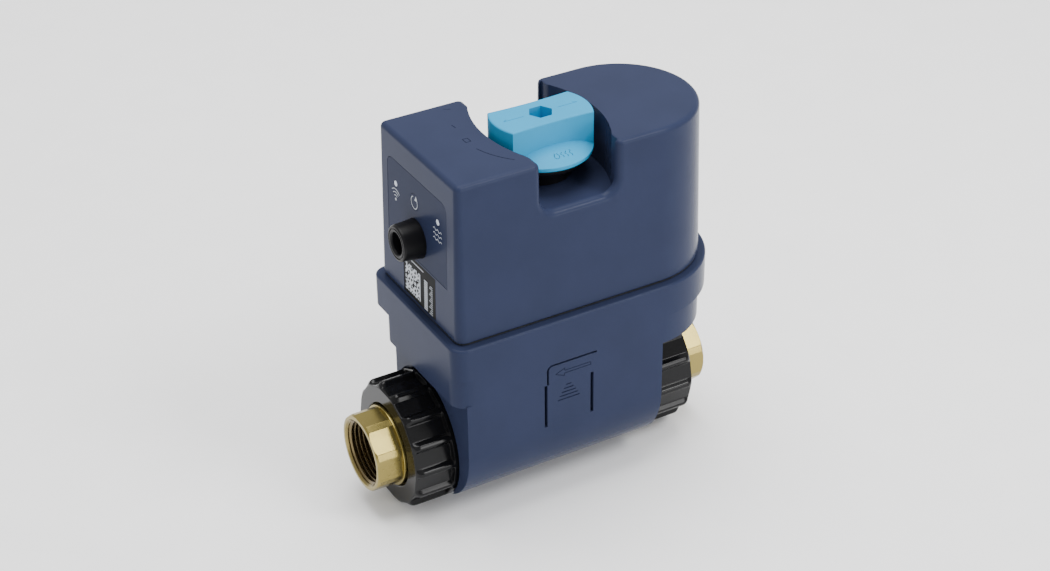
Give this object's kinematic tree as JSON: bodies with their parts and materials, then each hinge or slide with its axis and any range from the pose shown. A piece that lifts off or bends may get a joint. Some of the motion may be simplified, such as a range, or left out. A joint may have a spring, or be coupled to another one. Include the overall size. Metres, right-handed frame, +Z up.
{
  "type": "motorized valve actuator",
  "caption": "Motorized ball-valve actuator for a water pipe: navy case, light blue override knob, brass tailpieces and black union nuts.",
  "frame": {"origin": "centre of the valve's ball, on the pipe axis, straight under the knob's axis", "axes": "+X along the pipe towards the rounded far end of the case, +Z up the valve stem to the knob, -Y out of the front with the release tab"},
  "size_m": [0.1967, 0.0908, 0.1987],
  "materials": {
    "case_plastic": "gloss navy moulded plastic",
    "knob_plastic": "satin light blue moulded plastic",
    "black_plastic": "gloss black moulded plastic",
    "label_film": "satin printed film",
    "light_guide": "clear moulded plastic",
    "brass": "machined",
    "steel": "machined",
    "chrome": "polished",
    "gear_plastic": "moulded",
    "gearbox_plastic": "glass-filled, moulded",
    "circuit_board": "solder-masked laminate",
    "seat_plastic": "machined",
    "rubber": "moulded"
  },
  "bodies": {
    "case": {"ball_seat_far": "seat_plastic", "ball_seat_near": "seat_plastic", "board_screw_1": "steel", "board_screw_2": "steel", "cover_gasket": "rubber", "cover_screw_1": "steel", "cover_screw_2": "steel", "cover_screw_3": "steel", "end_adapter": "brass", "end_panel_overlay": "case_plastic", "flow_guide_far": "gear_plastic", "flow_guide_near": "gear_plastic", "flow_pickup": "black_plastic", "gearbox_base": "gearbox_plastic", "gearbox_screw_1": "steel", "gearbox_screw_2": "steel", "gearbox_screw_3": "steel", "gearbox_screw_4": "steel", "gearbox_top": "gearbox_plastic", "gland_nut": "brass", "idler_pin": "steel", "knob_collar": "black_plastic", "label_plate": "label_film", "lower_housing": "case_plastic", "main_board": "circuit_board", "motor_can": "steel", "motor_screw_1": "steel", "motor_screw_2": "steel", "position_sensor_board": "circuit_board", "power_socket": "black_plastic", "power_socket_nut": "black_plastic", "power_socket_pin": "brass", "rear_screw_1": "steel", "rear_screw_2": "steel", "rear_shell": "case_plastic", "reset_switch": "black_plastic", "rotor_axle": "steel", "status_led_flow": "light_guide", "status_led_network": "light_guide", "tailpiece_far": "brass", "tailpiece_near": "brass", "union_gasket_far": "rubber", "union_gasket_near": "rubber", "upper_cover": "case_plastic", "valve_body": "brass"},
    "valve_drive": {"override_knob": "knob_plastic", "drive_shaft": "steel", "output_gear": "gear_plastic", "magnet_ring": "black_plastic", "valve_stem": "steel", "stem_oring": "rubber", "ball": "chrome"},
    "idler": {"idler_gear": "gear_plastic"},
    "motor_shaft": {"motor_pinion": "brass"},
    "rotor": {"flow_rotor": "gear_plastic"},
    "nut_near": {"union_nut_near": "black_plastic"},
    "nut_far": {"union_nut_far": "black_plastic"},
    "reset": {"reset_button": "case_plastic"},
    "tab": {"release_tab": "case_plastic"}
  },
  "joints": [
    {"name": "valve_turn", "type": "hinge", "parent": "case", "child": "valve_drive", "pos_m": [0, 0, 0], "axis": [0, 0, -1], "range_deg": [0, 90]},
    {"name": "idler_turn", "type": "hinge", "parent": "case", "child": "idler", "pos_m": [0.0375, 0, 0], "axis": [0, 0, -1], "range_deg": [-360, 0]},
    {"name": "motor_turn", "type": "hinge", "parent": "case", "child": "motor_shaft", "pos_m": [0.06, 0, 0], "axis": [0, 0, -1], "range_deg": [0, 1440]},
    {"name": "rotor_spin", "type": "hinge", "parent": "case", "child": "rotor", "pos_m": [-0.0465, 0, 0], "axis": [1, 0, 0], "continuous": true},
    {"name": "nut_near_turn", "type": "hinge", "parent": "case", "child": "nut_near", "pos_m": [-0.0789, 0, 0], "axis": [-1, 0, 0], "continuous": true},
    {"name": "nut_far_turn", "type": "hinge", "parent": "case", "child": "nut_far", "pos_m": [0.061, 0, 0], "axis": [1, 0, 0], "continuous": true},
    {"name": "reset_press", "type": "slide", "parent": "case", "child": "reset", "axis": [0.9997, 0, -0.0237], "range_m": [0, 0.0008], "stiffness_N_per_m": 300},
    {"name": "tab_squeeze", "type": "hinge", "parent": "case", "child": "tab", "pos_m": [-0.0109, -0.044, 0.0141], "axis": [-1, 0, 0], "range_deg": [0, 4], "stiffness_Nm_per_rad": 0.6}
  ],
  "couplings": [
    {"joint": "idler_turn", "follows": "valve_turn", "ratio": -4},
    {"joint": "motor_turn", "follows": "valve_turn", "ratio": 16}
  ]
}
